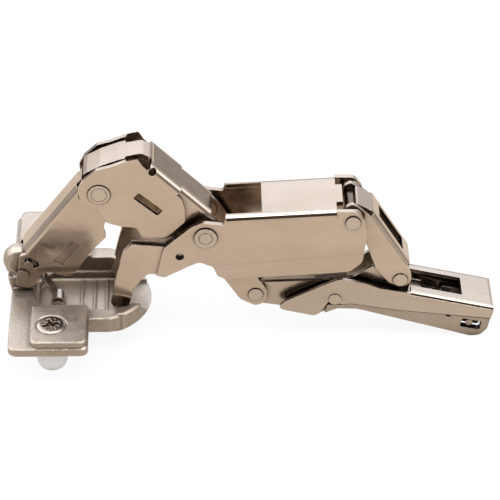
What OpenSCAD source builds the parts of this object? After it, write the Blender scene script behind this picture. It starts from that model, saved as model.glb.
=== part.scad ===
// Concealed cup hinge for cabinet doors, wide opening, clip-on arm.
// Frame: X runs from the cup towards the cabinet arm, Y along all pivot axes, Z along the cup axis.
// The origin is the cup centre on the face of the door. The hinge is drawn about 103 degrees open.
// Sheet parts are drawn as side outlines in the XZ plane, each in the frame of its own pivots.

/* [Linkage] */
// Back pivot in the cup, distance behind the cup centre
back_pivot_x = 17.9; // [17.6:0.1:18.4]
// Back pivot in the cup, height over the door face
back_pivot_z = 7.9; // [7.5:0.1:8.4]
// Front pivot in the cup, distance ahead of the cup centre
front_pivot_x = 8.7; // [8.3:0.1:9.1]
// Front pivot in the cup, depth below the door face
front_pivot_depth = 0.2; // [0:0.1:0.6]
// Cup link, length between pivots
cup_link_l = 36.1; // [35.6:0.1:36.6]
// Elbow lever, length from elbow to middle pivot
elbow_l = 31.6; // [31:0.1:32]
// Main lever, length from foot pivot to middle pivot
foot_arm_l = 33.7; // [33.2:0.1:34.2]
// Main lever, length from middle pivot to rear pivot, the same as between the two arm pivots
body_l = 40.4; // [39.5:0.1:41.5]
// Elbow lever tail and rear link, length between pivots
short_link_l = 26; // [25.5:0.1:26.5]
// Slope of the foot arm as drawn
foot_arm_slope = 44.2; // [43.5:0.1:45]
// Slope of the main lever body as drawn
body_slope = 6.5; // [6:0.1:7]
// Slope of the tail and of the rear link as drawn, below horizontal
short_link_slope = 58; // [57.3:0.1:58.7]
// Slope of the cabinet arm as drawn, below horizontal
arm_slope = 13.5; // [13:0.1:14]

/* [Sheet metal] */
// Thickness of the main lever sheet
main_t = 1.4; // [1.2:0.1:1.5]
// Thickness of the sheet of the other levers
lever_t = 1.2; // [1:0.1:1.3]
// Thickness of the arm cover sheet
cover_t = 1.0; // [0.8:0.1:1.1]
// Width over the main lever
main_w = 17.8; // [17.8:0.1:18.6]
// Width over the elbow lever body
elbow_w = 13.5; // [13.4:0.1:13.6]
// Width over the joggled ends of the elbow lever, and over the rear link
tail_w = 11.4; // [11.3:0.1:11.5]
// Width over the cup link
cup_link_w = 8.8; // [8.6:0.1:8.9]
// Width over the arm cover
cover_w = 14.6; // [14.4:0.1:14.7]
// Width over the clip channel inside the cover
clip_w = 12.4; // [12.2:0.1:12.5]
// Width over the pivot channel at the front of the arm
pivot_channel_w = 8.6; // [8.4:0.1:8.7]
// Inside radius of the folds
fold_r = 0.6; // [0.3:0.1:1]

/* [Cup] */
// Cup diameter
cup_d = 35; // [34.6:0.1:35.4]
// Depth of the straight wall below the door face
cup_wall_h = 4.2; // [4:0.1:4.4]
// Full depth of the cup below the door face
cup_depth = 6.6; // [6.5:0.1:7.5]
// Thickness of the cup floor
cup_floor_t = 1; // [0.8:0.1:1.3]
// Height of the rim over the door face
rim_h = 1.4; // [1:0.1:1.8]
// Width of the cup well
well_w = 24; // [23:0.5:25]
// Length of the flange along the door
flange_l = 61.6; // [60:0.2:64]
// Flange edge behind the cup centre
flange_back_x = 21.1; // [20.6:0.1:21.6]
// Flange edge ahead of the cup centre
flange_front_x = 0.6; // [0:0.1:1]
// Flange thickness
flange_t = 2.2; // [1.8:0.1:2.4]
// Height of the screw pads over the door face
pad_h = 4.3; // [3.8:0.1:4.8]
// Distance between the two fixing screws
screw_span = 45; // [44:0.5:46]
// Distance of the screws behind the cup centre
screw_x = 9.5; // [9:0.1:10]

/* [Fixings] */
// Diameter of the fixing screw heads
screw_head_d = 8; // [7.6:0.1:8]
// Diameter of the fixing screw shanks
screw_shank_d = 3.6; // [3.2:0.1:4]
// Diameter of the door dowels
dowel_d = 8.4; // [8.2:0.1:8.8]
// Length of the door dowels below the flange
dowel_l = 9.6; // [9:0.1:10.5]

/* [Rivets] */
// Diameter of the back pivot pin
back_pin_d = 3.5; // [3.2:0.1:3.8]
// Diameter of the foot pins
foot_pin_d = 2.6; // [2.4:0.1:2.8]
// Diameter of the elbow rivet shank
elbow_rivet_d = 2.6; // [2.4:0.1:2.8]
// Diameter of the middle rivet shank
middle_rivet_d = 3.6; // [3.4:0.1:3.8]
// Diameter of the heads of the elbow and middle rivets
big_head_d = 6.2; // [5.8:0.1:6.6]
// Diameter of the rear and arm rivets
small_rivet_d = 4; // [3.8:0.1:4.2]
// Height of the rivet heads
head_h = 0.5; // [0.3:0.1:0.6]
// Diameter of the spacers at the elbow
elbow_spacer_d = 8.6; // [8.2:0.1:8.8]
// Diameter of the spacers at the middle pivot
middle_spacer_d = 7.6; // [7.2:0.1:7.8]
// Diameter of the spacers at the rear pivot
rear_spacer_d = 5.6; // [5.4:0.1:5.8]

/* [Arm] */
// Length of the arm from its front pivot to its rear end
arm_l = 66; // [65:0.5:67]
// Height of the arm cover over the lower edge
arm_h = 10.6; // [10.3:0.1:10.9]
// Height of the lower edge over the front pivot, across the arm
arm_base = 0.7; // [0.5:0.1:0.9]
// Diameter of the front catch pin
catch_pin_d = 3.4; // [3:0.1:3.6]
// Diameter of the side adjusting screw
adjuster_d = 5; // [4.6:0.1:5.4]

/* [Hidden] */
// Clearances
running_gap = 0.05;
side_gap = 0.1;
seat_gap = 0.02;
// Pivots in the XZ plane
function polar(l, a) = l * [cos(a), sin(a)];
function meet(p, rp, q, rq) =
    let (d = q - p, l = norm(d), a = (rp * rp - rq * rq + l * l) / (2 * l), h = sqrt(rp * rp - a * a))
    p + d / l * a + h / l * [-d[1], d[0]];
function slope(p, q) = atan2(q[1] - p[1], q[0] - p[0]);
back_pivot = [-back_pivot_x, back_pivot_z];
front_pivot = [front_pivot_x, -front_pivot_depth];
middle_pivot = front_pivot + polar(foot_arm_l, foot_arm_slope);
elbow_pivot = meet(back_pivot, cup_link_l, middle_pivot, elbow_l);
rear_pivot = middle_pivot + polar(body_l, body_slope);
arm_front_pivot = middle_pivot + polar(short_link_l, -short_link_slope);
arm_rear_pivot = rear_pivot + polar(short_link_l, -short_link_slope);
cup_link_slope = slope(back_pivot, elbow_pivot);
elbow_slope = slope(elbow_pivot, middle_pivot);
// Half widths
main_y = main_w / 2;
elbow_y = elbow_w / 2;
tail_y = tail_w / 2;
cup_link_y = cup_link_w / 2;
cover_y = cover_w / 2;
clip_y = clip_w / 2;
channel_y = pivot_channel_w / 2;
fold_steps = 4;
far = 60;

// Outline helpers
// A corner entry is [x, z, radius]. The outline is the list of points with every corner rounded.
function unit(v) = v / norm(v);
function flat2(p) = [p[0], p[1]];
function round_corner(a, b, c, r) =
    let (u = unit(a - b), v = unit(c - b), half = acos(max(-0.9999, min(0.9999, u * v))) / 2,
        run = min(r / tan(half), 0.48 * norm(a - b), 0.48 * norm(c - b)), rr = run * tan(half),
        centre = b + unit(u + v) * rr / sin(half), s = b + u * run - centre, e = b + v * run - centre,
        a0 = atan2(s[1], s[0]), turn0 = atan2(e[1], e[0]) - a0,
        turn = turn0 > 180 ? turn0 - 360 : (turn0 < -180 ? turn0 + 360 : turn0))
    [for (i = [0 : fold_steps]) centre + rr * [cos(a0 + turn * i / fold_steps), sin(a0 + turn * i / fold_steps)]];
function outline(pts) =
    let (n = len(pts))
    [for (i = [0 : n - 1]) for (q = pts[i][2] > 0
        ? round_corner(flat2(pts[(i + n - 1) % n]), flat2(pts[i]), flat2(pts[(i + 1) % n]), pts[i][2])
        : [flat2(pts[i])]) q];
// Section of a folded channel: web on top, both sides down
function channel_section(w, depth, t) = outline([
    [-w / 2, -depth, 0], [-w / 2, 0, fold_r + t], [w / 2, 0, fold_r + t], [w / 2, -depth, 0],
    [w / 2 - t, -depth, 0], [w / 2 - t, -t, fold_r], [-w / 2 + t, -t, fold_r], [-w / 2 + t, -depth, 0]]);

// Places children drawn in the frame of a pivot
module in_frame(p, a) translate([p[0], 0, p[1]]) rotate([0, -a, 0]) children();
// A side outline between two planes across the hinge
module slab(pts, y0, y1) translate([0, y1, 0]) rotate([90, 0, 0]) linear_extrude(y1 - y0) polygon(outline(pts));
// The same on both sides of the hinge
module pair() {
    children();
    mirror([0, 1, 0]) children();
}
// A round bar along the pivot axis
module bar(p, d, y0, y1) translate([p[0], y0, p[1]]) rotate([-90, 0, 0]) cylinder(d = d, h = y1 - y0, $fn = 48);
// A folded channel whose web runs from a point in a direction
module fold(p, a, l, w, depth, t) in_frame(p, a) rotate([90, 0, 90]) linear_extrude(l) polygon(channel_section(w, depth, t));
// A straight slot through everything between two centres
module slot(p, q, d, y0, y1) {
    bar(p, d, y0, y1);
    bar(q, d, y0, y1);
    in_frame(p, slope(p, q)) translate([0, y0, -d / 2 + 0.01]) cube([norm(q - p), y1 - y0, d - 0.02]);
}

// Cup, one die casting
// The screw pad on the far side reaches further back
pad_x0 = -15;
far_pad_x0 = -flange_back_x + 1.2;
// Inner ends of the raised pad and of the low step beside it
pad_y0 = 16.2;
pad_y1 = well_w / 2 + 1.4;
well_x0 = -15;
well_x1 = 13;
// The deep part of the well ends behind the foot pivot
well_front_x = 7.4;
wall_t = 1.2;
box_y = well_w / 2 + 0.2;
step_z = -3.3;
step_x = 8.7;
knuckle_y = cup_link_y - lever_t - 0.3;
knuckle_r = 4.5;
module knuckle(p, r) {
    translate([p[0], 0, p[1]]) rotate([90, 0, 0]) rotate_extrude($fn = 64) polygon([
        [0, -knuckle_y], [r - 1.7, -knuckle_y], [r - 0.6, -knuckle_y + 0.8], [r, -0.8], [r, 0.8],
        [r - 0.6, knuckle_y - 0.8], [r - 1.7, knuckle_y], [0, knuckle_y]]);
}
module cup_body() {
    difference() {
        rotate_extrude($fn = 96) polygon([[0, -cup_wall_h], [cup_d / 2 - 0.4, -cup_wall_h], [cup_d / 2, -cup_wall_h + 0.4],
            [cup_d / 2, rim_h - 0.3], [cup_d / 2 - 0.3, rim_h], [0, rim_h]]);
        pair() {
            translate([-far / 2, -far, -far / 2]) cube([far, far - 16.3, far]);
            translate([step_x, -far, -far / 2]) cube([far, far - 14.3, far]);
            translate([-far / 2, -far, -far / 2]) cube([far / 2 + step_x, far - 14.7, far / 2 - cup_wall_h + 1]);
        }
    }
    // Box shaped lower part under the well
    intersection() {
        rotate([90, 0, 90]) translate([0, 0, -15.4]) linear_extrude(15.4 + well_front_x + wall_t) polygon([
            [-box_y, 0], [-box_y, -cup_depth + 0.6], [-box_y + 0.8, -cup_depth], [box_y - 0.8, -cup_depth], [box_y, -cup_depth + 0.6], [box_y, 0]]);
        translate([0, 0, -cup_depth - 1]) cylinder(d = cup_d - 1.8, h = cup_depth + 1, $fn = 96);
    }
}
module screw_pad(x0) {
    for (part = [[pad_h, pad_y0], [pad_h - 0.12, pad_y1]]) linear_extrude(part[0]) polygon(outline([
        [x0, -flange_l / 2 + 0.4, 2], [flange_front_x - 0.4, -flange_l / 2 + 0.4, 2],
        [flange_front_x - 0.4, -part[1], 0.6], [x0, -part[1], 0.6]]));
}
module flange() {
    linear_extrude(flange_t) polygon(outline([
        [-flange_back_x, -flange_l / 2, 2.5], [flange_front_x, -flange_l / 2, 2], [flange_front_x, flange_l / 2, 2],
        [-flange_back_x, flange_l / 2, 2.5]]));
    screw_pad(pad_x0);
    mirror([0, 1, 0]) screw_pad(far_pad_x0);
}
// Upper well, as wide as the levers need, and its deeper part with drafted side walls
module cup_well() {
    intersection() {
        translate([0, 0, step_z]) linear_extrude(far) polygon(outline([
            [well_x0, -well_w / 2, 1.5], [6, -well_w / 2, 3], [well_x1, -9.8, 3], [well_x1, 9.8, 3],
            [6, well_w / 2, 3], [well_x0, well_w / 2, 1.5]]));
        translate([0, 0, -cup_depth]) cylinder(d = cup_d - 2.4, h = far, $fn = 96);
    }
    intersection() {
        rotate([90, 0, 90]) translate([0, 0, -13.9]) linear_extrude(13.9 + well_front_x) polygon(outline([
            [-well_w / 2, step_z + 1, 0], [-well_w / 2 + 1, -cup_depth + cup_floor_t, 0.6],
            [well_w / 2 - 1, -cup_depth + cup_floor_t, 0.6], [well_w / 2, step_z + 1, 0]]));
        translate([0, 0, -cup_depth]) cylinder(d = cup_d - 4, h = far, $fn = 96);
    }
}
module cup() {
    color([0.72, 0.66, 0.60]) difference() {
        union() {
            difference() {
                union() {
                    cup_body();
                    flange();
                }
                cup_well();
                // Gate for the levers in the front wall
                translate([well_x1 - 3, -9.4, -2.6]) cube([far, 18.8, far]);
                translate([well_x1 - 3, -6.6, -3.5]) cube([far, 13.2, far]);
            }
            // Knuckle of the back pivot, barrel shaped, on its neck
            knuckle(back_pivot, knuckle_r - 0.8);
            knuckle(back_pivot + [-0.9, 2.3], knuckle_r);
            slab([[-back_pivot_x - 4.6, back_pivot_z - 1, 0], [-back_pivot_x - 4.9, back_pivot_z + 2.3, 0],
                [-back_pivot_x + 2, back_pivot_z + 2.3, 0], [-back_pivot_x + 2, back_pivot_z - 1, 0]], -1.2, 1.2);
            // Low ribs on the floor of the well
            for (x = [-2.4, 1.2, 4.6]) translate([x, -well_w / 2 + 1.6, -cup_depth + cup_floor_t - 0.3]) cube([0.7, well_w - 3.2, 0.6]);
            slab([[-flange_back_x + 0.1, 0.1, 0], [-back_pivot_x - 4.2, back_pivot_z - 2, 0], [-back_pivot_x + 4.4, back_pivot_z - 2, 0],
                [well_x0 + 0.6, -2, 0], [well_x0 - 2, -2, 0]], -knuckle_y, knuckle_y);
            // Two posts on the floor for the pin of the closing spring
            pair() slab([[spring_at[0] - 1.6, -cup_depth + 1, 0], [spring_at[0] - 1.6, spring_at[1] + 0.6, 1], [spring_at[0] + 1.6, spring_at[1] + 0.6, 1],
                [spring_at[0] + 1.6, -cup_depth + 1, 0]], -knuckle_y, -leaf_y - side_gap);
        }
        bar(back_pivot, back_pin_d + 2 * running_gap, -far / 2, far / 2);
        // Seats of the fixing screws
        pair() translate([-screw_x, -screw_span / 2, -1]) {
            cylinder(d = screw_shank_d + 0.4, h = pad_h + 2, $fn = 48);
            translate([0, 0, pad_h - 1.02]) cylinder(d = screw_head_d + 2 * running_gap, h = 4, $fn = 48);
            cylinder(d = dowel_d + 2 * seat_gap, h = 1 + dowel_seat, $fn = 48);
        }
        bar(spring_at, spring_pin_d + 2 * seat_gap, -knuckle_y - 0.1, knuckle_y + 0.1);
        // Bores of the foot pins in the side walls
        pair() bar(front_pivot, foot_pin_d + 2 * seat_gap, -foot_pin_y, -8);
    }
}

// Door dowels, seated in the underside of the flange and knocked into the door
dowel_seat = 0.8;
screw_grip = 3.4;
module dowel() {
    difference() {
        rotate_extrude($fn = 48) polygon(concat([[0, -dowel_l], [1.5, -dowel_l]],
            [for (i = [1 : 6]) [1.5 + (dowel_d / 2 - 1.5) * sin(i * 15), -dowel_l + 2.9 * (1 - cos(i * 15))]],
            [for (i = [0 : 1]) each [[dowel_d / 2 - 0.02 * i, -3.1 + 1.3 * i], [dowel_d / 2 - 0.25, -2.9 + 1.3 * i],
                [dowel_d / 2, -2.1 + 1.3 * i]]],
            [[dowel_d / 2 - 0.02, dowel_seat - seat_gap], [0, dowel_seat - seat_gap]]));
        translate([0, 0, -screw_grip - 0.2]) cylinder(d = screw_shank_d + 2 * seat_gap, h = dowel_l, $fn = 32);
    }
}
module dowels() {
    color([0.93, 0.94, 0.95]) pair() translate([-screw_x, -screw_span / 2, 0]) dowel();
}

// Fixing screws with a cross recess
module cup_screw() {
    difference() {
        union() {
            translate([0, 0, pad_h - 2]) cylinder(d = screw_head_d, h = 1.9, $fn = 48);
            translate([0, 0, pad_h - 0.1]) cylinder(d1 = screw_head_d, d2 = screw_head_d - 1, h = 0.4, $fn = 48);
            translate([0, 0, -screw_grip]) cylinder(d = screw_shank_d, h = screw_grip + pad_h - 1, $fn = 32);
        }
        for (a = [0, 90]) rotate([0, 0, a + 20]) translate([-2.2, -0.45, pad_h - 1.2]) cube([4.4, 0.9, 3]);
        translate([0, 0, pad_h - 1.4]) cylinder(d = 2, h = 3, $fn = 24);
    }
}
module cup_screws() {
    color([0.70, 0.64, 0.58]) pair() translate([-screw_x, -screw_span / 2, 0]) cup_screw();
}

// Closing spring, a flat leaf with an eye rolled round its own pin
spring_at = [-8.6, -3.7];
spring_pin_d = 1.8;
eye_d = 3.4;
leaf_t = 0.6;
leaf_y = 2;
module closing_spring() {
    color([0.80, 0.76, 0.70]) difference() {
        union() {
            bar(spring_at, eye_d, -leaf_y, leaf_y);
            slab([[spring_at[0] - eye_d / 2, spring_at[1], 0], [spring_at[0] - 1.3, spring_at[1] + 2.2, 1], [-13, 4.5, 1], [-12.4, 4.9, 0.2],
                [spring_at[0] - 0.3, spring_at[1] + 2, 1], [spring_at[0], spring_at[1] + 1, 0]], -leaf_y, leaf_y);
        }
        bar(spring_at, spring_pin_d + 2 * seat_gap, -far / 2, far / 2);
    }
}
module spring_pin() {
    color([0.70, 0.64, 0.58]) bar(spring_at, spring_pin_d, -knuckle_y + 0.05, knuckle_y - 0.05);
}

// Cup link, from the back pivot to the elbow
// The elbow end is pierced with a bent slot, which lets the elbow rivet shift as the hinge folds
hook_at = [3.7, 0.7];
hook_d = 2.5;
slot_d = elbow_rivet_d + 0.7;
slot_path = [[-4.1, -2.05], [-2.2, -0.6], [-0.3, -0.05], [0.3, -0.15], [-0.7, 0.15], [-1.95, 1.95]];
module cup_link() {
    low = [6.9, 4.8];
    top = [cup_link_l - 0.9, 5.3];
    plate = [[-4.4, -0.5, 1.5], [-2.4, -4.3, 2], [-0.6, -4.9, 1.5], [2.2, -4.1, 1.5], [4.9, -4.8, 2], [7.2, -10.4, 2],
        [9.8, -11.3, 2], [13.7, -10.8, 3], [18.7, -10.5, 3], [cup_link_l - 11.6, -10.9, 1], [cup_link_l - 9.8, -8.6, 1],
        [cup_link_l - 8, -7.8, 1], [cup_link_l - 4.6, -3.4, 2], [cup_link_l + 2.7, -3.2, 2.5], [cup_link_l + 2.7, 3.7, 2.2],
        [cup_link_l + 0.9, 5, 1.6], [cup_link_l - 0.6, 5, 0.3], [top[0], top[1] - lever_t - fold_r - 0.2, 0], [low[0], low[1] - lever_t - fold_r - 0.2, 0],
        [4.6, 4.4, 1], [3.2, 3.3, 0.8], [0.1, 1.7, 1.5]];
    color([0.74, 0.68, 0.62]) difference() {
        in_frame(back_pivot, cup_link_slope) difference() {
            union() {
                pair() slab(plate, -cup_link_y, -cup_link_y + lever_t);
                intersection() {
                    fold(low, slope(low, top), norm(top - low), cup_link_w, far, lever_t);
                    slab([[low[0], 8, 0], [low[0], low[1] - lever_t - fold_r - 0.8, 0], [top[0], top[1] - lever_t - fold_r - 0.8, 0], [top[0], 8, 0]],
                        -cup_link_y - 1, cup_link_y + 1);
                }
                // Back of the pressed panels
                pair() translate([8.6, -cup_link_y + lever_t - 0.1, -7.5]) cube([9.4, 0.4, 3.8]);
            }
            pair() {
                translate([9, -cup_link_y - 1, -7.1]) cube([8.6, 1.4, 3]);
                slot([5, -0.7], [5, 1.3], 2.6, -cup_link_y - 1, -cup_link_y + lever_t + 1);
                bar(hook_at, hook_d + 2 * seat_gap, -cup_link_y - 1, -cup_link_y + lever_t + 1);
                // Relief at the top end of the fold
                bar([cup_link_l - 2.2, 4.9], 2.4, -cup_link_y - 1, -cup_link_y + lever_t + 0.8);
            }
        }
        bar(back_pivot, back_pin_d + 2 * seat_gap, -far / 2, far / 2);
        in_frame(elbow_pivot, 0) for (i = [0 : len(slot_path) - 2]) slot(slot_path[i], slot_path[i + 1], slot_d, -far / 2, far / 2);
    }
}
module back_pin() {
    color([0.66, 0.60, 0.54]) bar(back_pivot, back_pin_d, -cup_link_y - head_h, cup_link_y + head_h);
}
module spring_hooks() {
    color([0.80, 0.75, 0.70]) in_frame(back_pivot, cup_link_slope) pair()
        bar(hook_at, hook_d, -cup_link_y - 0.3, -cup_link_y + lever_t);
}

// Elbow lever: sides, diagonal web rolled over into a top strap, and a joggled tail to the arm
strap_y = elbow_y - lever_t - 1.3;
module elbow_side(y0, y1) {
    slab([[-5.8, -1, 2.5], [-5.7, 2, 2], [-3.8, 6.9, 2], [-0.9, 9.4, 2], [2.2, 12.7, 3], [5, 14.9, 0.6], [7, 13.4, 0.5], [10, 12, 0],
        [elbow_l - 11.6, 8, 0], [elbow_l - 10.6, 7.6, 0.6], [elbow_l - 8.6, 5.2, 1.5], [elbow_l - 6.6, 1.3, 1.5],
        [elbow_l - 9.3, -6.4, 1.5], [16.3, -8.4, 1.2], [13.9, -6, 1], [9.6, -7.4, 1.5], [5.5, -7.8, 1.5], [2, -4.7, 1.5],
        [-3.7, -4.1, 2.5]], y0, y1);
}
module tail_side(y0, y1) {
    in_frame(elbow_pivot, elbow_slope) slab([[elbow_l - 12, -6.8, 1], [elbow_l - 12.5, 8.2, 0], [elbow_l - 4.6, 5.4, 1.5],
        [elbow_l + 2.5, 3.9, 3], [elbow_l + 4.6, -1, 3], [elbow_l - 2, -5.2, 0], [elbow_l - 7, -6.6, 0]], y0, y1);
    in_frame(middle_pivot, -short_link_slope) slab([[-3.5, -4.4, 3], [short_link_l - 1, -4.5, 3], [short_link_l + 3.3, -2.2, 2],
        [short_link_l + 3.7, -0.2, 1.5], [short_link_l + 3, 1.7, 1.5], [short_link_l + 0.6, 3.3, 2], [-2, 4.2, 3]], y0 + 0.02, y1 - 0.02);
}
module elbow_strap() {
    outer = [[-6, 2.6, 0.6], [-5.2, 3.9, 1.5], [-2.8, 7.2, 2], [0.8, 11, 3], [3.2, 12.9, 3], [6, 14.9, 2], [9.2, 14.8, 2.4], [10.6, 13.4, 0]];
    inner = [[10.6, 12, 0], [8.6, 13.2, 1], [6.5, 13.5, 1], [4, 11.8, 3], [1.7, 10, 3], [-1.9, 6.6, 2], [-4.3, 3.5, 1.5], [-5.2, 2.2, 0.3]];
    slab(concat(outer, inner), -strap_y, strap_y);
}
module elbow_lever() {
    web0 = [9.4, 14.2];
    web1 = [elbow_l - 0.8, 6];
    web_a = slope(web0, web1);
    // The web narrows where the sides step inwards to the tail
    step = web0 + polar(11.4, web_a);
    color([0.76, 0.70, 0.64]) difference() {
        union() {
            in_frame(elbow_pivot, elbow_slope) difference() {
                union() {
                    pair() elbow_side(-elbow_y + 0.02, -elbow_y + lever_t - 0.02);
                    intersection() {
                        fold(web0, web_a, 11.4, elbow_w, far, lever_t);
                        slab([[web0[0] - 0.5, 16, 0], [web0[0] - 0.5, 10.2, 0], [elbow_l - 11.6, 6.6, 0], [elbow_l - 10.4, 6.4, 0],
                            [elbow_l - 10.2, 14, 0]], -elbow_y - 1, elbow_y + 1);
                    }
                    intersection() {
                        fold(step - polar(0.4, web_a), web_a, norm(web1 - step) + 0.4, tail_w, far, lever_t);
                        slab([[step[0] - 1, 14, 0], [step[0] - 1, 5.4, 0], [elbow_l - 2.6, 4.4, 0],
                            [web1[0] + 1, 3.2, 0], [web1[0] + 1, 7.4, 0]], -tail_y - 1, tail_y + 1);
                    }
                    elbow_strap();
                }
                // Window in each side
                pair() in_frame([13.45, 2.4], -17.9) slab([[-4.4, -1.2, 0.5], [-4.4, 1.2, 0.5], [4.4, 1.2, 0.5], [4.4, -1.2, 0.5]],
                    -elbow_y - 1, -elbow_y + lever_t + 1);
                // Wider slits and round reliefs beside the bend of the strap
                pair() {
                    translate([2.4, -elbow_y + 0.1, 10.6]) cube([web0[0] - 2.5, elbow_y - strap_y + 0.9, 6]);
                    bar(web0 + [0.9, -1.7], 2.2, -elbow_y - 1, -elbow_y + lever_t + 0.9);
                }
            }
            pair() tail_side(-tail_y + 0.02, -tail_y + lever_t - 0.02);
        }
        bar(elbow_pivot, elbow_rivet_d + 2 * seat_gap, -far / 2, far / 2);
        bar(middle_pivot, middle_rivet_d + 2 * running_gap, -far / 2, far / 2);
        bar(arm_front_pivot, small_rivet_d + 2 * seat_gap, -far / 2, far / 2);
    }
}
// A rivet from an inner plane to its head: a ring shaped collar with a raised centre
module rivet(p, d, head_d, centre_d, y0, y, h) {
    pair() {
        bar(p, d, -y - h / 2, -y0);
        bar(p, head_d, -y - h, -y);
        bar(p, centre_d, -y - h - 0.1, -y);
    }
}
module elbow_rivet() {
    color([0.74, 0.68, 0.62]) rivet(elbow_pivot, elbow_rivet_d, big_head_d - 0.2, 4.1, 0, elbow_y, 0.3);
}
module ring_pair(p, d, bore, y0, y1) {
    pair() difference() {
        bar(p, d, y0, y1);
        bar(p, bore, y0 - 1, y1 + 1);
    }
}
module elbow_washers() {
    color([0.70, 0.64, 0.58]) ring_pair(elbow_pivot, elbow_spacer_d, elbow_rivet_d + 2 * seat_gap, cup_link_y + side_gap, elbow_y - lever_t);
}

// Main lever: a deep channel with two arms that reach into the cup
foot_y = main_y - 0.5;
lug_y = foot_y - 0.02;
foot_pin_y = well_w / 2 + 0.6;
module main_side(y0, y1) {
    slab([[-11.8, -2.3, 0], [-3.6, 3.7, 1.5], [-0.4, 4.9, 3], [2.6, 4.1, 1.5], [5.4, 3.4, 0.5], [6.2, 5.9, 0], [body_l - 4, 4.1, 0],
        [body_l + 1.4, 3.4, 2.5], [body_l + 3.3, 0, 1.5], [body_l + 3.3, -5.5, 3], [body_l + 1.3, -13.9, 3], [body_l - 2.4, -16.6, 3],
        [body_l - 10.6, -16.3, 2], [3.7, -14.9, 2], [1.6, -13.4, 1.5], [0.9, -10.4, 1.5], [-2.6, -8.1, 2], [-5.6, -9.1, 2],
        [-12.9, -12.1, 1], [-15, -11.2, 0]], y0, y1);
}
module foot_side(y0, y1) {
    slab([[3, 1.6, 0.4], [3.2, 5.3, 0.4], [6.8, 7.7, 3], [13.9, 12, 2], [17.4, 12.4, 2], [23.1, 5.6, 0], [15.2, 0.3, 0], [13.6, 2, 0.8],
        [11.6, 2.1, 1.5], [5.4, 1.1, 1]], y0, y1);
}
module lug_side(y0, y1) {
    slab([[-2.2, -1.6, 1.5], [-0.8, 2.6, 1.5], [4.6, 5.4, 0], [6.6, 0.9, 0], [1.5, -2.2, 1.5]], y0, y1);
}
module main_lever() {
    web0 = [6.2, 5.9];
    web1 = [body_l - 4, 4.1];
    color([0.78, 0.72, 0.66]) difference() {
        union() {
            in_frame(middle_pivot, body_slope) difference() {
                union() {
                    pair() difference() {
                        main_side(-main_y + 0.02, -main_y + main_t - 0.02);
                        slab([[web0[0] - 0.01, web0[1] - main_t - fold_r - 0.3, 0], [web0[0] - 0.01, 9, 0], [web1[0] + 0.01, 9, 0],
                            [web1[0] + 0.01, web1[1] - main_t - fold_r - 0.3, 0]], -far, far);
                    }
                    intersection() {
                        fold(web0, slope(web0, web1), norm(web1 - web0), main_w, far, main_t);
                        slab([[web0[0], 8, 0], [web0[0], 2.4, 0], [web1[0], 0.8, 0], [web1[0], 8, 0]], -main_y - 1, main_y + 1);
                    }
                    // Tongue at the rear end of the web
                    in_frame(web1, slope(web0, web1)) translate([-0.5, -4.1, -main_t + 0.02]) cube([2.3, 8.2, main_t - 0.04]);
                }
                // Window in the web, open to the front, for the elbow lever when the hinge is shut
                translate([0, -main_y + 1.9, 0]) cube([16.1, main_w - 3.8, 12]);
                // Punch marks in the arms, and the shallow step along the lower band
                pair() {
                    bar([-7.8, -5.6], 2.4, -main_y - 1, -main_y + main_t - 0.25);
                    slab([[-1, -9.6, 0], [body_l + 5, -10.8, 0], [body_l + 5, -20, 0], [-1, -20, 0]], -main_y - 1, -main_y + 0.15);
                }
            }
            in_frame(front_pivot, foot_arm_slope) pair() {
                foot_side(-foot_y, -foot_y + main_t);
                lug_side(-lug_y, -lug_y + main_t);
            }
        }
        bar(middle_pivot, middle_rivet_d + 2 * seat_gap, -far / 2, far / 2);
        bar(rear_pivot, small_rivet_d + 2 * seat_gap, -far / 2, far / 2);
        bar(front_pivot, foot_pin_d + 2 * seat_gap, -far / 2, far / 2);
    }
}
module foot_pins() {
    color([0.86, 0.81, 0.76]) pair() bar(front_pivot, foot_pin_d, -foot_pin_y, -lug_y + main_t + 0.4);
}
module middle_rivet() {
    color([0.74, 0.68, 0.62]) rivet(middle_pivot, middle_rivet_d, big_head_d, 3.5, tail_y - lever_t + 0.02, main_y, head_h);
}
module middle_washers() {
    color([0.70, 0.64, 0.58]) ring_pair(middle_pivot, middle_spacer_d, middle_rivet_d + 2 * seat_gap, tail_y + side_gap, main_y - main_t);
}
module rear_rivet() {
    color([0.74, 0.68, 0.62]) bar(rear_pivot, small_rivet_d, -main_y - head_h, main_y + head_h);
}
module rear_washers() {
    color([0.70, 0.64, 0.58]) ring_pair(rear_pivot, rear_spacer_d, small_rivet_d + 2 * seat_gap, tail_y + side_gap, main_y - main_t);
}

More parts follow.
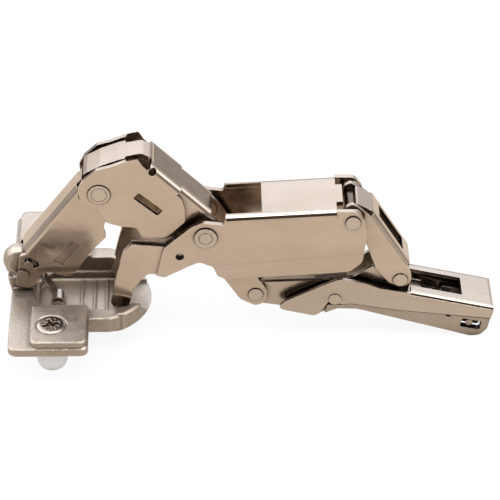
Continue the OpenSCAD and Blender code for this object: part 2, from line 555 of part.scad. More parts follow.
// Rear link, from the main lever down to the arm
module rear_link() {
    bend = [3, 5.3];
    web_end = [short_link_l - 3, 4.9];
    color([0.76, 0.70, 0.64]) difference() {
        in_frame(rear_pivot, -short_link_slope) difference() {
            union() {
                pair() slab([[-3.4, -1.5, 2.5], [-3.4, 1.9, 1], [-1.8, 2.7, 0.5], [2.4, 4, 0], [short_link_l - 3, 4, 0],
                    [short_link_l + 0.7, 3.3, 2], [short_link_l + 2.6, 1.4, 2.5], [short_link_l + 2.4, -1.4, 2.5],
                    [short_link_l - 1, -3.2, 3], [short_link_l - 7, -3.7, 2.5], [8.2, -1.2, 3], [2, -3.2, 2.5]], -tail_y, -tail_y + lever_t);
                intersection() {
                    fold(bend, slope(bend, web_end), norm(web_end - bend), tail_w, far, lever_t);
                    slab([[bend[0], 8, 0], [bend[0], 3.6, 0], [web_end[0], 3.6, 0], [web_end[0], 8, 0]], -tail_y, tail_y);
                }
                slab([[-2, 2.7, 0.4], [bend[0] + 0.1, bend[1], 0], [bend[0] + 0.1, bend[1] - lever_t - 0.3, 0], [-1.6, 1.5, 0]], -4.2, 4.2);
            }
            translate([6, -2.8, 3]) cube([short_link_l - 12.5, 5.6, 6]);
        }
        bar(rear_pivot, small_rivet_d + 2 * running_gap, -far / 2, far / 2);
        bar(arm_rear_pivot, small_rivet_d + 2 * seat_gap, -far / 2, far / 2);
    }
}
module arm_front_rivet() {
    color([0.74, 0.68, 0.62]) bar(arm_front_pivot, small_rivet_d, -tail_y - 0.3, tail_y + 0.3);
}
module arm_rear_rivet() {
    color([0.74, 0.68, 0.62]) bar(arm_rear_pivot, small_rivet_d, -tail_y - 0.35, tail_y + 0.35);
}

// Arm. Its frame starts at the front pivot, with X along the arm and Z square to its top
arm_top = arm_base + arm_h;
rear_in_arm = polar(body_l, body_slope + arm_slope);
catch_at = [21.6, arm_base + 3.7];
adjuster_at = arm_l - 16.8;
bridge_z = arm_base + 3.6;
release_at = [arm_l - 12, arm_base + 5.6];
ear_at = [arm_l - 5.4, arm_base + 3.45];
module in_arm() in_frame(arm_front_pivot, -arm_slope) children();
module pivot_channel() {
    back = adjuster_at - 3.2;
    inner_top = arm_top - cover_t - 1.7;
    color([0.72, 0.66, 0.60]) difference() {
        in_arm() {
            pair() slab([[-3.5, -1.5, 2.5], [-3.2, 2.4, 2.5], [1.5, 3.6, 2], [16, arm_top - 3.8, 3], [25.2, arm_top - 0.6, 2], [29.4, arm_top + 4.2, 1.5],
                [rear_in_arm[0] - 3, rear_in_arm[1] + 3, 2], [rear_in_arm[0] + 3.4, rear_in_arm[1] + 1.4, 2.5],
                [rear_in_arm[0] + 3.4, inner_top, 1], [back, inner_top, 0], [back, arm_base + 3, 0],
                [18, arm_base + 1.4, 3], [8, -3.2, 3], [2, -3.6, 2.5]], -channel_y, -channel_y + lever_t);
            // Folded cross webs between the two sides
            slab([[15.2, arm_top - 4.3, 0], [24, arm_top - 1.3, 0], [24.4, arm_top - 1.3 - lever_t, 0], [15.6, arm_top - 4.3 - lever_t, 0]],
                -channel_y + 0.1, channel_y - 0.1);
            slab([[rear_in_arm[0] + 4, inner_top - 0.1, 0], [back, inner_top - 0.1, 0], [back, inner_top - 0.1 - lever_t, 0],
                [rear_in_arm[0] + 4, inner_top - 0.1 - lever_t, 0]], -channel_y + 0.1, channel_y - 0.1);
        }
        bar(arm_front_pivot, small_rivet_d + 2 * running_gap, -far / 2, far / 2);
        bar(arm_rear_pivot, small_rivet_d + 2 * running_gap, -far / 2, far / 2);
        in_arm() bar(catch_at, catch_pin_d + 2 * seat_gap, -far / 2, far / 2);
    }
}
module arm_cover() {
    web_x = rear_in_arm[0] + 3.8;
    side = [[7, -1.6, 0.8], [8.4, 0.6, 0.8], [16.5, 7.5, 4], [21.2, arm_top + 0.1, 2.5], [28.4, arm_top + 0.1, 2.5], [33, arm_top - 0.7, 2],
        [web_x, arm_top - 0.4, 0], [web_x, arm_top, 0], [arm_l, arm_top, 1.2], [arm_l, arm_top - 3.8, 0.4], [arm_l - 14, arm_base + 5.2, 4],
        [39, arm_base + 3.8, 4], [catch_at[0] + 4.9, arm_base + 3.2, 1.5], [catch_at[0] + 2.6, arm_base + 2.4, 0.6],
        [catch_at[0] - 1.5, arm_base + 2.4, 0.6], [18.6, -1.4, 1], [17.3, -2.5, 1.2], [8.2, -2.4, 1]];
    color([0.78, 0.72, 0.66]) difference() {
        in_arm() {
            intersection() {
                fold([web_x, arm_top], 0, arm_l - web_x, cover_w, far, cover_t);
                slab(side, -cover_y, cover_y);
            }
            pair() difference() {
                slab(side, -cover_y, -cover_y + cover_t);
                translate([web_x, -far / 2, arm_top - cover_t]) cube([far, far, far]);
            }
        }
        in_arm() {
            translate([0, -3.9, 0]) cube([arm_l - 9.2, 7.8, far]);
            bar(catch_at, catch_pin_d + 2 * seat_gap, -far / 2, far / 2);
        }
    }
}
module clip_channel() {
    x0 = arm_l - 8.7;
    top = arm_top - cover_t - side_gap;
    side = [[8.8, -1.7, 0.6], [9.2, 0.3, 0.6], [16.8, 6.9, 4], [21.4, arm_top - 0.4, 2.5], [28.2, arm_top - 0.4, 2.5], [32.6, arm_top - 1.3, 2],
        [x0 - 3, top - lever_t - fold_r - 0.3, 2], [arm_l - 0.1, top - lever_t - fold_r - 0.3, 0], [arm_l, arm_base + 3, 1],
        [arm_l - 1.4, arm_base + 0.3, 2.5], [arm_l - 4, arm_base - 0.5, 2], [arm_l - 13, arm_base + 0.1, 4], [catch_at[0] + 7, arm_base + 1.7, 3],
        [catch_at[0] + 1.5, arm_base + 0.6, 2], [18.9, -1.9, 1], [17.4, -2.2, 1]];
    // Lower edge of the cover, with a gap
    below = [[catch_at[0] - 1.5, -5, 0], [catch_at[0] - 1.5, arm_base + 1.2, 0.5], [catch_at[0] + 2.6, arm_base + 2.2, 0.5],
        [catch_at[0] + 4.9, arm_base + 3, 1.5], [39, arm_base + 3.6, 4], [arm_l - 14, arm_base + 5, 4], [arm_l + 1, arm_top - 4, 0], [arm_l + 1, -5, 0]];
    color([0.70, 0.64, 0.58]) difference() {
        in_arm() {
            intersection() {
                fold([x0, top], 0, arm_l - 0.6 - x0, clip_w, far, lever_t);
                slab([[x0, top + 1, 0], [x0, top - 3, 0], [arm_l - 0.6, top - 3, 0], [arm_l - 0.6, top + 1, 0]], -clip_y, clip_y);
            }
            // Lower band, flush with the cover above it
            pair() intersection() {
                slab(side, -cover_y + 0.15, -clip_y + 0.3);
                slab(below, -cover_y, 0);
            }
            pair() slab(side, -clip_y + 0.02, -clip_y + lever_t - 0.02);
            // Bridge that carries the adjusting screw
            slab([[adjuster_at - 2.8, bridge_z, 0], [adjuster_at - 2.8, bridge_z + 1.4, 0], [adjuster_at + 2.7, bridge_z + 1.4, 0],
                [adjuster_at + 2.7, bridge_z, 0]], -clip_y + 0.2, clip_y - 0.2);
        }
        in_arm() {
            bar(catch_at, catch_pin_d + 2 * seat_gap, -far / 2, far / 2);
            bar(release_at, release_pin_d + 2 * seat_gap, -far / 2, far / 2);
            // Side slots for the ears of the release lever
            pair() slab([[ear_at[0] - 2.4, ear_at[1] - 1.5, 0.6], [ear_at[0] - 2.4, ear_at[1] + 1.5, 0.6], [ear_at[0] + 3.4, ear_at[1] + 1.5, 0.6],
                [ear_at[0] + 3.4, ear_at[1] - 1.5, 0.6]], -cover_y - 1, -release_y + 0.1);
            translate([adjuster_at, 0, 0]) cylinder(d = adjuster_d + 2 * running_gap, h = bridge_z + 2, $fn = 48);
            // Room for the rear link between the sides when the hinge opens wide
            pair() slab([[12, arm_base + 6.5, 0], [17, arm_base + 6.5, 0], [20, arm_base + 8.1, 0], [36, arm_base + 8.1, 0], [36, 20, 0], [12, 20, 0]],
                -tail_y - side_gap, -channel_y);
        }
    }
}
module catch_pin() {
    color([0.74, 0.68, 0.62]) in_arm() bar(catch_at, catch_pin_d, -cover_y - 0.3, cover_y + 0.3);
}
module side_adjuster() {
    head_z = bridge_z + 1.4;
    color([0.74, 0.68, 0.62]) in_arm() translate([adjuster_at, 0, 0]) difference() {
        union() {
            translate([0, 0, bridge_z - 1.6]) cylinder(d = adjuster_d, h = 3.4, $fn = 48);
            translate([0, 0, bridge_z - 2.8]) cylinder(d = adjuster_d - 1.6, h = 2, $fn = 48);
            translate([0, 0, head_z + 0.05]) cylinder(d = adjuster_d + 1.6, h = 1.2, $fn = 48);
        }
        translate([-2.4, -0.45, head_z + 0.5]) cube([4.8, 0.9, 3]);
        translate([-0.45, -2.4, head_z + 0.5]) cube([0.9, 4.8, 3]);
    }
}
release_pin_d = 2;
release_y = clip_y - lever_t - 0.3;
module release_lever() {
    color([0.66, 0.60, 0.54]) difference() {
        in_arm() {
            pair() slab([[release_at[0] - 1.8, release_at[1] - 1.4, 1.2], [release_at[0] - 1.8, release_at[1] + 1.4, 1.2],
                [release_at[0] + 4, release_at[1] + 1.4, 1.5], [arm_l - 1.8, arm_base + 5.2, 0.8], [arm_l - 2.4, arm_base + 2.2, 0.8],
                [release_at[0] + 3, release_at[1] - 3.4, 1.5], [release_at[0] - 0.6, release_at[1] - 2.4, 1.2]], -release_y, -release_y + lever_t);
            slab([[release_at[0] + 4, release_at[1] - 2.1, 0], [release_at[0] + 4, release_at[1] - 3.2, 0], [arm_l - 2.4, arm_base + 2.3, 0],
                [arm_l - 2.2, arm_base + 3.4, 0]], -release_y + 0.1, release_y - 0.1);
            // Ears in the side slots of the channel
            pair() bar(ear_at, 2, -clip_y - 0.3, -release_y + 0.2);
        }
        in_arm() bar(release_at, release_pin_d + 2 * running_gap, -far / 2, far / 2);
    }
}
module release_pin() {
    color([0.74, 0.68, 0.62]) in_arm() bar(release_at, release_pin_d, -clip_y, clip_y);
}
// Spring of the release lever, a round coil drawn as its sleeve of turns
module release_spring() {
    x = arm_l - 5.4;
    z0 = arm_base + 3.55;
    z1 = arm_top - cover_t - side_gap - lever_t - 0.05;
    turns = 4;
    color([0.62, 0.58, 0.52]) in_arm() translate([x, 0, 0]) rotate_extrude($fn = 32)
        polygon(concat([[1.1, z0]], [for (i = [0 : turns - 1]) each [[1.9, z0 + (z1 - z0) * i / turns],
            [2.2, z0 + (z1 - z0) * (i + 0.5) / turns]]], [[1.9, z1], [1.1, z1]]));
}

cup();
dowels();
cup_screws();
closing_spring();
spring_pin();
cup_link();
back_pin();
spring_hooks();
elbow_lever();
elbow_rivet();
elbow_washers();
main_lever();
foot_pins();
middle_rivet();
middle_washers();
rear_rivet();
rear_washers();
rear_link();
arm_front_rivet();
arm_rear_rivet();
pivot_channel();
arm_cover();
clip_channel();
catch_pin();
side_adjuster();
release_lever();
release_pin();
release_spring();
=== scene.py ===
import math

import bmesh
import bpy
from mathutils import Matrix, Vector


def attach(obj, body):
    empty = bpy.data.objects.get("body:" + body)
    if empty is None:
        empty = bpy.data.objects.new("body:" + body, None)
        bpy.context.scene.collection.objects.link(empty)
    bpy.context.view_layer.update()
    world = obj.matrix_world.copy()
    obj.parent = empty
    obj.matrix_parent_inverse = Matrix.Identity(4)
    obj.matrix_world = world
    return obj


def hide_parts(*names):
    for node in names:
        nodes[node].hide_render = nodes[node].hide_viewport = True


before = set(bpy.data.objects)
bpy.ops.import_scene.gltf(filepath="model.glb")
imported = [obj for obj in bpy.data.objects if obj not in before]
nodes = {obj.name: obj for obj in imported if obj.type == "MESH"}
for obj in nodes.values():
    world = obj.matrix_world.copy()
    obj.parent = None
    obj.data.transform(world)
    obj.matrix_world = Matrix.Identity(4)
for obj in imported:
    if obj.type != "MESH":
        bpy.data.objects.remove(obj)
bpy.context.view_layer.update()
MM = 0.001

# Pivots of the linkage at rest, x and z in mm
BACK = (-17.9, 7.9)
ELBOW = (4.15, 36.49)
MIDDLE = (32.86, 23.29)
REAR = (73.0, 27.87)
ARM_FRONT = (46.64, 1.25)
ARM_REAR = (86.78, 5.82)

# What the part rests on, in mm: the dowels' bottoms and the arm's rear lower corner
DOWEL_REST = (-9.5, 0.0, -9.62)
ARM_REST = (108.0, 0.0, -13.1)

# Thin lines of painted shade around the rivet heads and steps: pivot, radius, width in mm, strength
RIMS = [
    (ELBOW, 3.12, 0.26, 0.85), (ELBOW, 2.08, 0.22, 0.8),
    (MIDDLE, 3.22, 0.26, 0.85), (MIDDLE, 1.8, 0.24, 0.8),
    (REAR, 2.1, 0.24, 0.75), (ARM_FRONT, 2.1, 0.24, 0.75), (ARM_REAR, 2.1, 0.24, 0.75),
    (BACK, 1.85, 0.24, 0.7)]

# Nickel: colours, noise scales per metre of object, distances in mm
# Painted shade: colour and strength of the darkening in corners, gaps, wells, seams and rivet rims
SHADE_COLOUR = (0.06, 0.044, 0.03)
SHADE_STRENGTH = 0.85
SPECK_TINT = 0.6
# Painted highlight on edges: gain and lift of the brighter tint
HIGHLIGHT_GAIN = 1.35
HIGHLIGHT_LIFT = 0.12
CLOUD_SCALE = 95.0
SCUFF_SCALE = 420.0
SCUFF_OFFSET = (0.3, 0.1, 0.7)
# Streaks of painted sheen: a lighter, cooler tint mixed in along stretched noise
SHEEN_SCALE = 55.0
SHEEN_STRETCH = (0.45, 1.0, 1.7)
SHEEN_OFFSET = (0.02, 0.0, 0.013)
SHEEN_TINT = (1.08, 1.13, 1.2)
SHEEN_STRENGTH = 0.55
BRUSH_SCALE = 260.0
GAP_REACH = 5.0
WELL_REACH = 16.0
SEAM_REACH = 1.5
NICKEL_BUMP = 0.05

# White plastic
# Painted highlight tint for the plastic's edges
PLASTIC_HIGHLIGHT = (0.95, 0.96, 0.97)
PLASTIC_EDGE_RADIUS = 0.3
PLASTIC_BUMP = 0.04
PLASTIC_SCATTER = (0.002, 0.002, 0.002)

# Fixing screws, in mm
SCREW_X = -9.5
SCREW_Y = 22.5
HEAD_TOP = 4.6
RECESS_TOP = HEAD_TOP + 0.1
SHANK_AND_HEAD = [
    (0.0, -3.4), (1.8, -3.4), (1.8, 2.32), (3.98, 2.32), (3.98, 4.15), (3.85, 4.38), (3.5, 4.55),
    (3.1, HEAD_TOP), (0.0, HEAD_TOP)]
RECESS_CONE = [(0.0, 2.9), (0.9, 3.0), (1.35, RECESS_TOP), (0.0, RECESS_TOP)]
CONE_STEPS = 32
ARM_TURN = 20
MARK_TURN = 65

# Dark strips of painted shade between the elbow lever and the arms of the main lever, in mm: outline x,
# z, and two depths
STRIP = [(12.0, 19.0), (12.7, 21.55), (21.3, 21.3), (23.6, 22.6), (25.0, 20.4), (21.0, 17.6)]
STRIP_DEPTHS = (6.92, 7.35)

# Stage, lengths in m
FLOOR_HALF = 0.32
FLOOR_GAP = 0.02 * MM
FLOOR_CAMERA = (0.95, 0.95, 0.95)
FLOOR_DARK = (0.50, 0.435, 0.35)
FLOOR_LIGHT = (0.52, 0.455, 0.37)
FLOOR_CLEAR = 0.9
FLOOR_GLOW = 0.2
WHITE = (1.0, 1.0, 1.0)
HORIZON = (0.40, 0.39, 0.39)
CEILING = (1.39, 1.46, 1.58)
FLAG = (0.07, 0.055, 0.045)
FLAG_TOWARD = (0.0, -0.93, 0.36)
FLAG_DIFFUSE = 0.35
TUBE = (4.2, 4.1, 4.0)
TUBE_Y = 0.16
LAMP_POWER = 0.5

# Camera fitted to the photograph
PHOTO_PIXELS = 500.0
FOCAL_PIXELS = 2690.21
SENSOR = 36.0
CAMERA_RIGHT = (0.99980315, -0.01972931, 0.00210068)
CAMERA_UP = (0.01008896, 0.59670361, 0.80239829)
CAMERA_PLACE = (32.40581886, -599.09776982, 458.0465153)


# Node helpers

class Tree:
    """Small wrapper that adds linked shader nodes."""

    def __init__(self, tree):
        self.tree = tree
        tree.nodes.clear()

    def add(self, kind, inputs=None, **settings):
        node = self.tree.nodes.new(kind)
        for key, value in settings.items():
            setattr(node, key, value)
        for key, value in (inputs or {}).items():
            self.feed(node.inputs[key], value)
        return node

    def feed(self, socket, value):
        if isinstance(value, bpy.types.NodeSocket):
            self.tree.links.new(value, socket)
        elif socket.type == "RGBA" and len(value) == 3:
            socket.default_value = (*value, 1.0)
        else:
            socket.default_value = value

    def math(self, operation, a, b=0.0, clamp=False):
        return self.add("ShaderNodeMath", {0: a, 1: b}, operation=operation, use_clamp=clamp).outputs[0]

    def vector(self, operation, a, b, output="Vector"):
        return self.add("ShaderNodeVectorMath", {0: a, 1: b}, operation=operation).outputs[output]

    def ramp(self, value, low, high, out_low=0.0, out_high=1.0):
        return self.add("ShaderNodeMapRange", {
            "Value": value, "From Min": low, "From Max": high, "To Min": out_low, "To Max": out_high},
            interpolation_type="SMOOTHSTEP").outputs["Result"]

    def mix(self, factor, a, b):
        node = self.add("ShaderNodeMix", data_type="RGBA")
        sockets = [s for s in node.inputs if s.enabled]
        for socket, value in zip(sockets, (factor, a, b)):
            self.feed(socket, value)
        return [s for s in node.outputs if s.enabled][0]

    def mix_shader(self, factor, a, b):
        return self.add("ShaderNodeMixShader", {0: factor, 1: a, 2: b}).outputs[0]

    def noise(self, coords, scale, detail=3.0, roughness=0.5, stretch=None, offset=(0.0, 0.0, 0.0)):
        vector = coords
        if stretch or any(offset):
            vector = self.add("ShaderNodeMapping", {
                "Vector": coords, "Scale": stretch or (1.0, 1.0, 1.0), "Location": offset}).outputs[0]
        return self.add("ShaderNodeTexNoise", {
            "Vector": vector, "Scale": scale, "Detail": detail, "Roughness": roughness}).outputs["Fac"]

    def bump(self, height, normal, strength, distance):
        node = self.add("ShaderNodeBump", {
            "Height": height, "Normal": normal, "Strength": strength, "Distance": distance})
        return node.outputs["Normal"]

    def axis(self, vector, letter):
        return self.add("ShaderNodeSeparateXYZ", {0: vector}).outputs[letter]


def new_material(name):
    material = bpy.data.materials.new(name)
    material.use_nodes = True
    return material, Tree(material.node_tree)


def edge_mask(tree, radius, samples=4):
    """1 on edges and folds narrower than the radius and 0 on flat faces, and the rounded normal."""
    bevel = tree.add("ShaderNodeBevel", {"Radius": radius}, samples=samples).outputs["Normal"]
    normal = tree.add("ShaderNodeNewGeometry").outputs["Normal"]
    return tree.ramp(tree.vector("DOT_PRODUCT", bevel, normal, "Value"), 0.995, 0.86), bevel


def recess(tree, distance, low, high, own=False, samples=2):
    """1 in corners, wells and gaps, 0 on open faces, from ambient occlusion; it masks the painted
    shade.
    """
    open_sky = tree.add("ShaderNodeAmbientOcclusion", {"Distance": distance},
                        samples=samples, only_local=own).outputs["AO"]
    return tree.ramp(open_sky, high, low)


def rims(tree, coords):
    """1 on the thin lines of painted shade around the rivet heads."""
    flat = tree.vector("MULTIPLY", coords, (1.0, 0.0, 1.0))
    total = None
    for (x, z), radius, width, strength in RIMS:
        reach = tree.vector("DISTANCE", flat, (x * MM, 0.0, z * MM), "Value")
        off = tree.math("ABSOLUTE", tree.math("SUBTRACT", reach, radius * MM))
        line = tree.ramp(off, 0.35 * width * MM, width * MM, strength, 0.0)
        total = line if total is None else tree.math("MAXIMUM", total, line)
    return total


def nickel(name, light, dark, rough, grain, grain_scale, edge, radius,
           streak=0.0, streak_axis=(1.0, 1.0, 1.0), well=(0.2, 0.72), shaded_sides=1.0, polish=0.08):
    """Nickel plate: cloudy tints, streaks of painted sheen, grain or brushed streaks, painted
    highlights on edges, painted shade in recesses.
    """
    material, t = new_material(name)
    coords = t.add("ShaderNodeTexCoord").outputs["Object"]
    cloud = t.noise(coords, CLOUD_SCALE, 4.0, 0.6)
    fine = t.noise(coords, grain_scale, 2.0)
    scuff = t.noise(coords, SCUFF_SCALE, 5.0, 0.7, offset=SCUFF_OFFSET)
    colour = t.mix(t.ramp(cloud, 0.3, 0.7), dark, light)
    # Painted sheen in long streaks
    sheen_streaks = t.noise(coords, SHEEN_SCALE, 3.0, 0.55, stretch=SHEEN_STRETCH, offset=SHEEN_OFFSET)
    colour = t.mix(t.ramp(sheen_streaks, 0.42, 0.68, 0.0, SHEEN_STRENGTH), colour,
                   tuple(min(1.0, c * k) for c, k in zip(light, SHEEN_TINT)))
    specks = t.ramp(fine, 0.34, 0.58)
    colour = t.mix(t.math("MULTIPLY", t.math("SUBTRACT", 1.0, specks), grain * 0.4), colour,
                   tuple(c * SPECK_TINT for c in dark))
    # Painted shade: ambient occlusion darkens gaps, wells, seams and the rivet rims towards the shade
    # colour
    deep = t.math("MAXIMUM", recess(t, GAP_REACH * MM, 0.1, 0.7),
                  recess(t, WELL_REACH * MM, *well, own=True))
    lines = t.math("MAXIMUM", rims(t, coords),
                   t.math("MULTIPLY", recess(t, SEAM_REACH * MM, 0.4, 0.85), SHADE_STRENGTH))
    colour = t.mix(t.math("MAXIMUM", t.math("MULTIPLY", deep, SHADE_STRENGTH), lines), colour, SHADE_COLOUR)
    # Painted shade: faces that do not point up are darkened towards the shade colour
    if shaded_sides < 1.0:
        facing = t.axis(t.add("ShaderNodeNewGeometry").outputs["True Normal"], "Z")
        colour = t.mix(t.ramp(facing, 0.8, 0.2), colour, t.mix(1.0 - shaded_sides, colour, SHADE_COLOUR))
    mask, rounded = edge_mask(t, radius * MM)
    # Painted highlight along edges, varied at random and weaker in recesses; the same mask also lowers
    # the edges' roughness as wear
    wear_and_highlight = t.math("MULTIPLY", mask, t.ramp(scuff, 0.35, 0.6, 0.7, 1.0))
    wear_and_highlight = t.math("MULTIPLY", wear_and_highlight, t.math("SUBTRACT", 1.0, t.math("MULTIPLY", deep, 0.7)))
    # Painted highlight: the edges are mixed towards a brighter tint
    edge_highlight = tuple(min(1.0, c * HIGHLIGHT_GAIN + HIGHLIGHT_LIFT) for c in light)
    colour = t.mix(t.math("MULTIPLY", wear_and_highlight, edge), colour, edge_highlight)
    roughness = t.ramp(scuff, 0.25, 0.75, rough - 0.05, rough + 0.07)
    if streak:
        brushed = t.noise(coords, BRUSH_SCALE, 3.0, 0.6, stretch=streak_axis)
        roughness = t.math("ADD", roughness, t.ramp(brushed, 0.3, 0.7, -streak, streak))
    roughness = t.math("SUBTRACT", roughness, t.math("MULTIPLY", wear_and_highlight, polish), clamp=True)
    height = t.math("ADD", t.math("MULTIPLY", fine, grain), t.math("MULTIPLY", scuff, 0.25))
    shader = t.add("ShaderNodeBsdfPrincipled", {
        "Base Color": colour, "Metallic": 1.0, "Roughness": roughness,
        "Normal": t.bump(height, rounded, 0.22, NICKEL_BUMP * MM)}).outputs[0]
    t.add("ShaderNodeOutputMaterial", {"Surface": shader})
    return material


def plastic(name, light, dark):
    """Moulded plastic with a fine grain and a painted highlight on its edges."""
    material, t = new_material(name)
    coords = t.add("ShaderNodeTexCoord").outputs["Object"]
    cloud = t.noise(coords, 160.0)
    grain = t.noise(coords, 2600.0, 2.0)
    mask, rounded = edge_mask(t, PLASTIC_EDGE_RADIUS * MM)
    colour = t.mix(t.ramp(cloud, 0.3, 0.7), dark, light)
    # Painted highlight on the edges
    colour = t.mix(t.math("MULTIPLY", mask, 0.3), colour, PLASTIC_HIGHLIGHT)
    shader = t.add("ShaderNodeBsdfPrincipled", {
        "Base Color": colour, "Roughness": t.ramp(grain, 0.3, 0.7, 0.34, 0.46),
        "Normal": t.bump(grain, rounded, 0.2, PLASTIC_BUMP * MM),
        "Subsurface Weight": 0.25, "Subsurface Radius": PLASTIC_SCATTER}).outputs[0]
    t.add("ShaderNodeOutputMaterial", {"Surface": shader})
    return material


# Materials: light and dark tint, roughness, grain and its scale

cast = nickel("cast_nickel", (0.62, 0.52, 0.43), (0.53, 0.44, 0.355), 0.42, 0.75, 2000.0,
              edge=1.0, radius=0.95, well=(0.08, 0.5), shaded_sides=0.72, polish=0.24)
sheet = nickel("sheet_nickel", (0.60, 0.49, 0.40), (0.565, 0.46, 0.375), 0.185, 0.08, 3200.0,
               edge=0.9, radius=0.2, streak=0.025, streak_axis=(0.25, 3.0, 0.25))
cover = nickel("cover_nickel", (0.565, 0.475, 0.395), (0.53, 0.445, 0.37), 0.21, 0.12, 2600.0,
               edge=0.9, radius=0.2, streak=0.025, streak_axis=(0.3, 3.0, 0.3))
rivet = nickel("rivet_nickel", (0.60, 0.51, 0.43), (0.55, 0.465, 0.39), 0.18, 0.15, 3000.0,
               edge=0.9, radius=0.2)
steel = nickel("spring_steel", (0.60, 0.53, 0.46), (0.50, 0.44, 0.37), 0.18, 0.15, 3000.0,
               edge=0.4, radius=0.3)
# Painted shade: a darker copy of the nickel for the parts inside the cover and for the dark strips
shaded_nickel = nickel("shaded_inner_nickel", (0.47, 0.39, 0.32), (0.38, 0.31, 0.25), 0.28, 0.4, 2300.0,
               edge=0.5, radius=0.3)
white = plastic("white_plastic", (0.93, 0.945, 0.96), (0.88, 0.90, 0.92))

FINISH = {
    "cup": cast, "dowels": white, "cup_screws": rivet, "closing_spring": steel, "spring_pin": rivet,
    "cup_link": sheet, "back_pin": rivet, "spring_hooks": rivet, "elbow_lever": sheet,
    "elbow_rivet": rivet, "elbow_washers": rivet, "main_lever": sheet, "foot_pins": rivet,
    "middle_rivet": rivet, "middle_washers": rivet, "rear_rivet": rivet, "rear_washers": rivet,
    "rear_link": sheet, "arm_front_rivet": rivet, "arm_rear_rivet": rivet, "pivot_channel": cover,
    "arm_cover": cover, "clip_channel": shaded_nickel, "catch_pin": rivet, "side_adjuster": shaded_nickel,
    "release_lever": shaded_nickel, "release_pin": shaded_nickel, "release_spring": shaded_nickel,
}
for name, material in FINISH.items():
    data = nodes[name].data
    if not data.materials:
        data.materials.append(material)
    for i in range(len(data.materials)):
        data.materials[i] = material


# Mesh helpers

def link(name, data):
    made = bpy.data.objects.new(name, data)
    bpy.context.scene.collection.objects.link(made)
    return made


def lathe(bm, profile, place, steps=64):
    """A closed solid turned about Z; the profile runs from axis to axis, in mm."""
    rings = []
    for radius, z in profile:
        count = steps if radius else 1
        turns = [2 * math.pi * i / steps for i in range(count)]
        points = [Vector((radius * math.cos(a), radius * math.sin(a), z)) for a in turns]
        rings.append([bm.verts.new((place + point) * MM) for point in points])
    for low, high in zip(rings, rings[1:]):
        for i in range(steps):
            a, b = low[i % len(low)], low[(i + 1) % len(low)]
            c, d = high[(i + 1) % len(high)], high[i % len(high)]
            bm.faces.new([v for k, v in enumerate((a, b, c, d)) if v not in (a, b, c, d)[:k]])


def wedge(bm, place, turn, start, top_end, low_end, top_width, low_width, top, low):
    """A tapered bar that points away from the axis, in mm."""
    spin = Matrix.Rotation(turn, 4, "Z")
    corners = []
    for z, end, width in ((low, low_end, low_width), (top, top_end, top_width)):
        for x, y in ((start, -width / 2), (end, -width / 2), (end, width / 2), (start, width / 2)):
            corners.append(bm.verts.new((place + spin @ Vector((x, y, z))) * MM))
    for face in ((3, 2, 1, 0), (4, 5, 6, 7), (0, 1, 5, 4), (1, 2, 6, 5), (2, 3, 7, 6), (3, 0, 4, 7)):
        bm.faces.new([corners[i] for i in face])


def mesh_object(name, bm):
    bmesh.ops.recalc_face_normals(bm, faces=bm.faces)
    mesh = bpy.data.meshes.new(name)
    bm.to_mesh(mesh)
    bm.free()
    return link(name, mesh)


def carve(body, cutters):
    """The body less each cutter, as a plain mesh; the cutters are removed."""
    for cutter in cutters:
        cut = body.modifiers.new("cut", "BOOLEAN")
        cut.operation = "DIFFERENCE"
        cut.solver = "EXACT"
        cut.object = cutter
    bpy.context.view_layer.update()
    graph = bpy.context.evaluated_depsgraph_get()
    carved = bpy.data.meshes.new_from_object(body.evaluated_get(graph))
    body.modifiers.clear()
    body.data = carved
    for cutter in cutters:
        bpy.data.objects.remove(cutter)


# Fixing screws, with a cross recess that tapers and the four small marks between its arms

bm = bmesh.new()
cutters = []
for side in (-1, 1):
    at = Vector((SCREW_X, SCREW_Y * side, 0.0))
    lathe(bm, SHANK_AND_HEAD, at)
    cone = bmesh.new()
    lathe(cone, RECESS_CONE, at, CONE_STEPS)
    cutters.append(mesh_object("recess_cone", cone))
    for i in range(4):
        arm = bmesh.new()
        wedge(arm, at, math.radians(ARM_TURN + 90 * i), start=0.0, top_end=2.5, low_end=1.45,
              top_width=1.0, low_width=0.7, top=RECESS_TOP, low=3.15)
        cutters.append(mesh_object("recess_arm", arm))
        mark = bmesh.new()
        wedge(mark, at, math.radians(MARK_TURN + 90 * i), start=1.1, top_end=2.5, low_end=2.3,
              top_width=0.34, low_width=0.2, top=RECESS_TOP, low=HEAD_TOP - 0.3)
        cutters.append(mesh_object("recess_mark", mark))
screws = mesh_object("cup_screws_fine", bm)
carve(screws, cutters)
for face in screws.data.polygons:
    face.use_smooth = False
screws.data.materials.clear()
screws.data.materials.append(rivet)
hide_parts("cup_screws")
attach(screws, "cup_body")


# Dark strips of painted shade that close the gap through which the background showed; they ride on the
# main lever

for side in (-1, 1):
    bm = bmesh.new()
    inside, outside = ([bm.verts.new(Vector((x, side * y, z)) * MM) for x, z in STRIP]
                       for y in STRIP_DEPTHS)
    bm.faces.new(inside)
    bm.faces.new(outside)
    for i in range(len(STRIP)):
        j = (i + 1) % len(STRIP)
        bm.faces.new((inside[i], inside[j], outside[j], outside[i]))
    strip = mesh_object("shade_strip_near" if side < 0 else "shade_strip_far", bm)
    strip.data.materials.append(shaded_nickel)
    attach(strip, "main_body")


# Floor, tilted so that the dowels and the arm's corner both stand on it

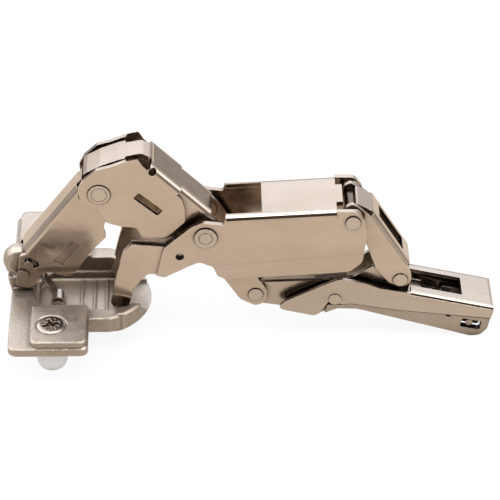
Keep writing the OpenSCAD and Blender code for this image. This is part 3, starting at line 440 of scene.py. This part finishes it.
bm = bmesh.new()
bmesh.ops.create_grid(bm, x_segments=2, y_segments=2, size=FLOOR_HALF)
floor_mesh = bpy.data.meshes.new("floor")
bm.to_mesh(floor_mesh)
bm.free()
floor = link("floor", floor_mesh)
rest = Vector(DOWEL_REST) * MM
rear = Vector(ARM_REST) * MM
floor.rotation_euler = (0.0, math.atan2(rest.z - rear.z, rear.x - rest.x), 0.0)
floor.location = rest + (rear - rest) * 0.5 + Vector((0.0, 0.0, -FLOOR_GAP))
material, t = new_material("paper_floor")
coords = t.add("ShaderNodeTexCoord").outputs["Object"]
fibre = t.noise(coords, 900.0)
path = t.add("ShaderNodeLightPath").outputs
# White paper for the camera, tan paper for the light that reaches the part
paper = t.mix(path["Is Camera Ray"], t.mix(fibre, FLOOR_DARK, FLOOR_LIGHT), FLOOR_CAMERA)
paper = t.add("ShaderNodeBsdfDiffuse", {"Color": paper}).outputs[0]
glow = t.add("ShaderNodeEmission", {"Color": WHITE, "Strength": 1.0}).outputs[0]
mirrored = t.math("MAXIMUM", path["Is Glossy Ray"], path["Is Transmission Ray"])
shader = t.mix_shader(t.math("MULTIPLY", mirrored, FLOOR_GLOW), paper, glow)
# The camera looks through most of the paper at the white world, so the shadow stays light
clear = t.add("ShaderNodeBsdfTransparent", {"Color": WHITE}).outputs[0]
shader = t.mix_shader(t.math("MULTIPLY", path["Is Camera Ray"], FLOOR_CLEAR), shader, clear)
t.add("ShaderNodeOutputMaterial", {"Surface": shader})
floor_mesh.materials.append(material)


# World: dim horizon, light ceiling, dark front and an overhead tube; white to the camera only

world = bpy.data.worlds.new("studio")
bpy.context.scene.world = world
world.use_nodes = True
t = Tree(world.node_tree)
direction = t.add("ShaderNodeTexCoord").outputs["Generated"]
path = t.add("ShaderNodeLightPath").outputs
height = t.axis(direction, "Z")
studio = t.mix(t.ramp(height, 0.0, 0.55), HORIZON, CEILING)
front = t.vector("DOT_PRODUCT", direction, Vector(FLAG_TOWARD).normalized(), "Value")
seen = t.ramp(path["Is Diffuse Ray"], 0.0, 1.0, 1.0, FLAG_DIFFUSE)
flag = t.math("MULTIPLY", t.ramp(front, 0.5, 0.9), seen)
studio = t.mix(flag, studio, FLAG)
across = t.math("ABSOLUTE", t.math("ADD", t.axis(direction, "Y"), TUBE_Y))
tube = t.math("MULTIPLY", t.ramp(across, 0.2, 0.08), t.ramp(height, 0.25, 0.5))
studio = t.mix(tube, studio, TUBE)
studio = t.mix(path["Is Camera Ray"], studio, WHITE)
background = t.add("ShaderNodeBackground", {"Color": studio, "Strength": 1.0}).outputs[0]
t.add("ShaderNodeOutputWorld", {"Surface": background})


# Lamps

def softbox(name, place, aim, size, power):
    light = bpy.data.lights.new(name, "AREA")
    light.shape = "RECTANGLE"
    light.size, light.size_y = size
    light.energy = power
    lamp = link(name, light)
    lamp.location = place
    lamp.rotation_euler = (Vector(aim) - Vector(place)).to_track_quat("-Z", "Y").to_euler()


middle = Vector((0.045, 0.0, 0.01))
softbox("overhead", (0.02, -0.05, 0.75), middle, (0.55, 0.4), LAMP_POWER)
softbox("back_left", (-0.45, 0.45, 0.45), middle, (0.4, 0.4), LAMP_POWER)


# Camera at the photograph's place

camera_data = bpy.data.cameras.new("photo_camera")
camera_data.sensor_width = SENSOR
camera_data.lens = SENSOR * FOCAL_PIXELS / PHOTO_PIXELS
camera_data.clip_end = 10.0
camera = link("photo_camera", camera_data)
right = Vector(CAMERA_RIGHT)
up = Vector(CAMERA_UP)
back = right.cross(up)
place = Vector(CAMERA_PLACE) * MM
camera.matrix_world = Matrix((
    (right.x, up.x, back.x, place.x), (right.y, up.y, back.y, place.y),
    (right.z, up.z, back.z, place.z), (0.0, 0.0, 0.0, 1.0)))
bpy.context.scene.camera = camera
bpy.context.scene.view_settings.view_transform = "Standard"
